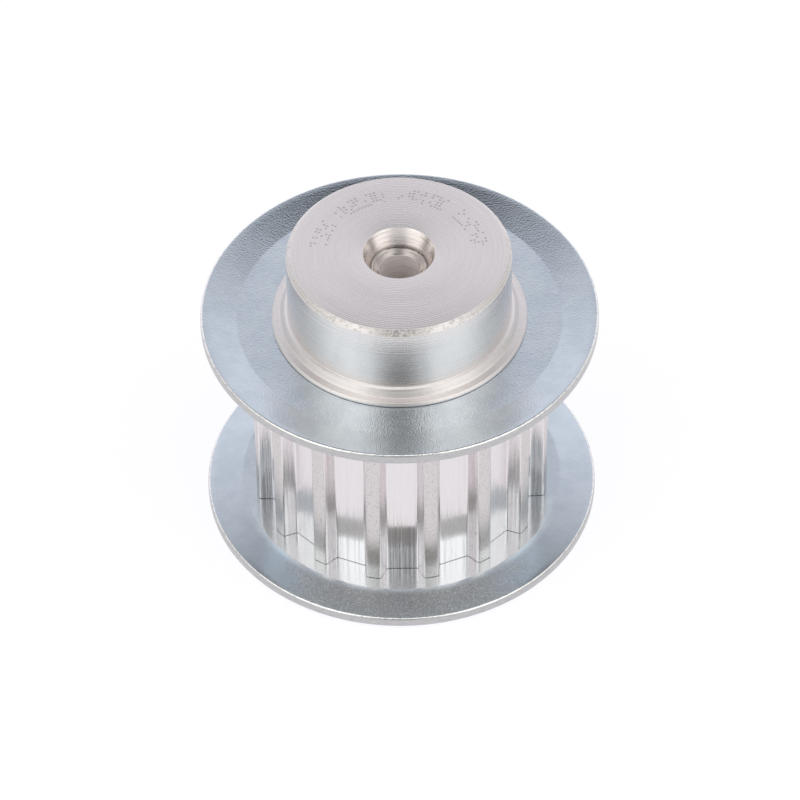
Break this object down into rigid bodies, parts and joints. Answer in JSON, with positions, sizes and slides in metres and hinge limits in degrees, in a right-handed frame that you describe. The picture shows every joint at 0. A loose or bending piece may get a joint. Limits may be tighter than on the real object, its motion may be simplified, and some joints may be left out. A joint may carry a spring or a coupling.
{
  "type": "timing belt pulley",
  "caption": "Toothed aluminium timing belt pulley with a pressed steel flange at each end of the belt track, a plain hub on one side and a small pilot bore.",
  "frame": {"origin": "on the bore's axis, in the plane of the base end face, opposite the hub", "axes": "+Z along the bore towards the hub; a tooth gap is centred on -Y"},
  "size_m": [0.032, 0.032, 0.027],
  "materials": {
    "turned_aluminium": "turned, bare",
    "zinc_plated_steel": "satin, blue zinc plate with fine orange peel"
  },
  "bodies": {
    "root": {"pulley_body": "turned_aluminium", "hub_side_flange": "zinc_plated_steel", "base_side_flange": "zinc_plated_steel"}
  },
  "joints": []
}
